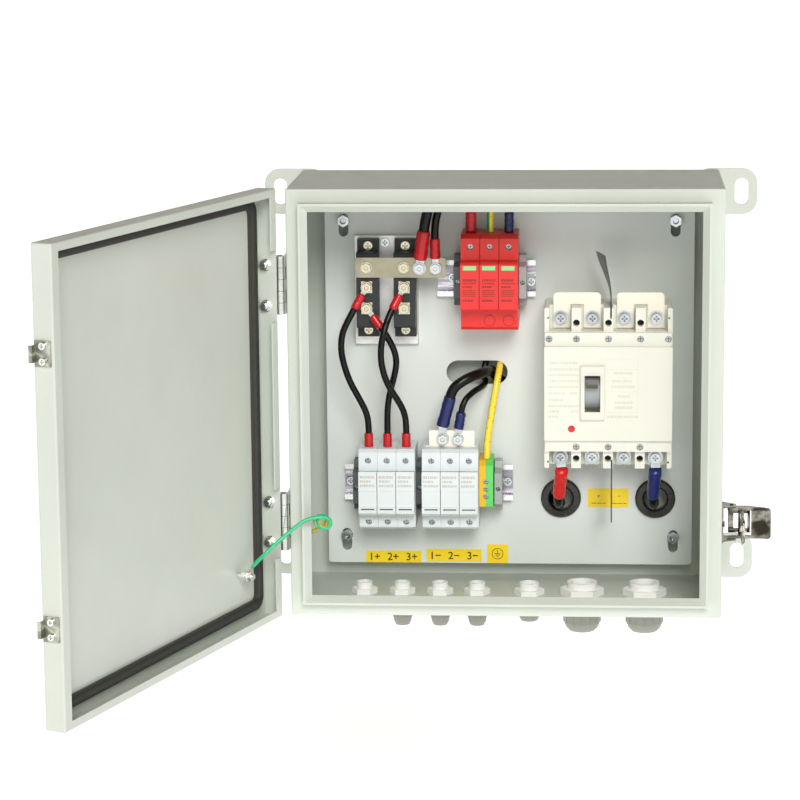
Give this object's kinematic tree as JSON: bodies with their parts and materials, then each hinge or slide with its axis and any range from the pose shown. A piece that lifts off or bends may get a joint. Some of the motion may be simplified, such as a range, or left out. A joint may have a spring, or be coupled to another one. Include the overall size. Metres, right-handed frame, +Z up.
{
  "type": "dc combiner box",
  "caption": "Wall-mounted sheet steel solar string combiner cabinet, side-hinged door open, with fused string inputs, surge protector, diodes and a main breaker",
  "frame": {"origin": "on the wall behind the cabinet, at the middle of the cabinet's width and height", "axes": "+Z up, +Y into the wall, -Y out of the cabinet's open front, +X towards the latch side"},
  "size_m": [0.6103, 0.5461, 0.4348],
  "materials": {
    "cabinet_paint": "light grey powder coat, fine orange peel",
    "door_paint": "light grey powder coat, fine orange peel",
    "plate_paint": "satin light grey paint",
    "zinc": "bright zinc plating",
    "yellow_zinc": "zinc plating with a faint yellow tint",
    "passivated_zinc": "passivated zinc, faintly iridescent",
    "black_rubber": "matt black rubber",
    "dark_plastic": "grey moulded nylon",
    "cast_aluminium": "satin, lightly brushed",
    "black_plastic": "satin moulded thermoset",
    "tinned_bar": "tinned copper, slightly dull",
    "cream_bar": "cream-white tinned bar",
    "red_plastic": "satin red moulded plastic",
    "white_plastic": "light grey-white moulded plastic",
    "fuse_ceramic": "glazed ceramic tube with metal caps",
    "terminal_yellow": "yellow and green moulded nylon",
    "ivory_plastic": "fine-grained ivory thermoset",
    "grey_nylon": "grey moulded nylon",
    "white_nylon": "off-white moulded nylon",
    "black_foam": "poured foam seal, matt",
    "nickel": "dull nickel plating",
    "chrome": "bright chrome plating",
    "red_sleeve": "glossy heat-shrink sleeve",
    "black_insulation": "satin insulation",
    "yellow_insulation": "satin insulation",
    "green_insulation": "satin insulation",
    "yellow_label": "printed vinyl"
  },
  "bodies": {
    "cabinet": {"cabinet_shell": "cabinet_paint", "wall_brackets": "cabinet_paint", "mounting_plate": "plate_paint", "studs_and_nuts": "zinc", "plate_screws": "zinc", "grommets": "black_rubber", "din_rails": "passivated_zinc", "end_brackets": "dark_plastic", "diode_base": "cast_aluminium", "diode_modules": "black_plastic", "diode_busbar": "tinned_bar", "comb_busbar": "cream_bar", "terminal_bolts": "yellow_zinc", "spd_base": "red_plastic", "fuse_bases": "white_plastic", "earth_terminal": "terminal_yellow", "terminal_screws": "zinc", "breaker_base": "ivory_plastic", "breaker_cover": "ivory_plastic", "breaker_terminals": "cream_bar", "breaker_screws": "zinc", "phase_barriers": "black_plastic", "gland_bodies": "grey_nylon", "gland_lock_nuts": "white_nylon", "gland_domes": "grey_nylon", "gland_seals": "black_rubber", "hinge_cabinet_leaves": "zinc", "hinge_pins": "zinc", "latch_base": "chrome", "wire_lugs": "tinned_bar", "lug_sleeves": "red_sleeve", "string_wires": "black_insulation", "power_cables": "black_insulation", "earth_wire": "yellow_insulation", "door_earth_lead": "green_insulation", "circuit_labels": "yellow_label"},
    "door": {"door_shell": "door_paint", "door_gasket": "black_foam", "hinge_door_leaves": "zinc", "door_fasteners": "zinc", "latch_keepers": "nickel"},
    "latch_lever": {"latch_lever": "chrome"},
    "latch_bail": {"latch_bail": "chrome"},
    "breaker_handle": {"breaker_handle": "black_plastic"},
    "trip_button": {"trip_button": "red_plastic"},
    "fuse_carrier_1": {"fuse_carrier_1": "white_plastic", "fuse_link_1": "fuse_ceramic"},
    "fuse_carrier_2": {"fuse_carrier_2": "white_plastic", "fuse_link_2": "fuse_ceramic"},
    "fuse_carrier_3": {"fuse_carrier_3": "white_plastic", "fuse_link_3": "fuse_ceramic"},
    "fuse_carrier_4": {"fuse_carrier_4": "white_plastic", "fuse_link_4": "fuse_ceramic"},
    "fuse_carrier_5": {"fuse_carrier_5": "white_plastic", "fuse_link_5": "fuse_ceramic"},
    "fuse_carrier_6": {"fuse_carrier_6": "white_plastic", "fuse_link_6": "fuse_ceramic"},
    "spd_cartridge_1": {"spd_cartridge_1": "red_plastic"},
    "spd_cartridge_2": {"spd_cartridge_2": "red_plastic"},
    "spd_cartridge_3": {"spd_cartridge_3": "red_plastic"}
  },
  "joints": [
    {"name": "door_hinge", "type": "hinge", "parent": "cabinet", "child": "door", "pos_m": [-0.2055, -0.1635, 0], "axis": [0, 0, -1], "range_deg": [-110, 40], "deforming": ["door_earth_lead"]},
    {"name": "latch_lever", "type": "hinge", "parent": "cabinet", "child": "latch_lever", "pos_m": [0.2095, -0.142, -0.113], "axis": [0, 0, -1], "range_deg": [-90, 30]},
    {"name": "latch_bail", "type": "hinge", "parent": "latch_lever", "child": "latch_bail", "pos_m": [0.2185, -0.1385, -0.113], "axis": [0, 0, -1], "range_deg": [-31, 92.5]},
    {"name": "breaker_handle", "type": "hinge", "parent": "cabinet", "child": "breaker_handle", "pos_m": [0.0802, -0.0795, -0.0005], "axis": [1, 0, 0], "range_deg": [0, 48]},
    {"name": "trip_button", "type": "slide", "parent": "cabinet", "child": "trip_button", "axis": [0, 1, 0], "range_m": [0, 0.0015], "stiffness_N_per_m": 300, "springref_m": -0.0005},
    {"name": "fuse_carrier_1", "type": "hinge", "parent": "cabinet", "child": "fuse_carrier_1", "pos_m": [-0.1335, -0.077, -0.1213], "axis": [1, 0, 0], "range_deg": [0, 60]},
    {"name": "fuse_carrier_2", "type": "hinge", "parent": "cabinet", "child": "fuse_carrier_2", "pos_m": [-0.1155, -0.077, -0.1213], "axis": [1, 0, 0], "range_deg": [0, 60]},
    {"name": "fuse_carrier_3", "type": "hinge", "parent": "cabinet", "child": "fuse_carrier_3", "pos_m": [-0.0975, -0.077, -0.1213], "axis": [1, 0, 0], "range_deg": [0, 60]},
    {"name": "fuse_carrier_4", "type": "hinge", "parent": "cabinet", "child": "fuse_carrier_4", "pos_m": [-0.073, -0.077, -0.1213], "axis": [1, 0, 0], "range_deg": [0, 60]},
    {"name": "fuse_carrier_5", "type": "hinge", "parent": "cabinet", "child": "fuse_carrier_5", "pos_m": [-0.055, -0.077, -0.1213], "axis": [1, 0, 0], "range_deg": [0, 60]},
    {"name": "fuse_carrier_6", "type": "hinge", "parent": "cabinet", "child": "fuse_carrier_6", "pos_m": [-0.037, -0.077, -0.1213], "axis": [1, 0, 0], "range_deg": [0, 60]},
    {"name": "spd_cartridge_1", "type": "slide", "parent": "cabinet", "child": "spd_cartridge_1", "axis": [0, -1, 0], "range_m": [0, 0.03]},
    {"name": "spd_cartridge_2", "type": "slide", "parent": "cabinet", "child": "spd_cartridge_2", "axis": [0, -1, 0], "range_m": [0, 0.03]},
    {"name": "spd_cartridge_3", "type": "slide", "parent": "cabinet", "child": "spd_cartridge_3", "axis": [0, -1, 0], "range_m": [0, 0.03]}
  ],
  "couplings": [
    {"joint": "latch_bail", "follows": "latch_lever", "ratio": -1.0256}
  ]
}
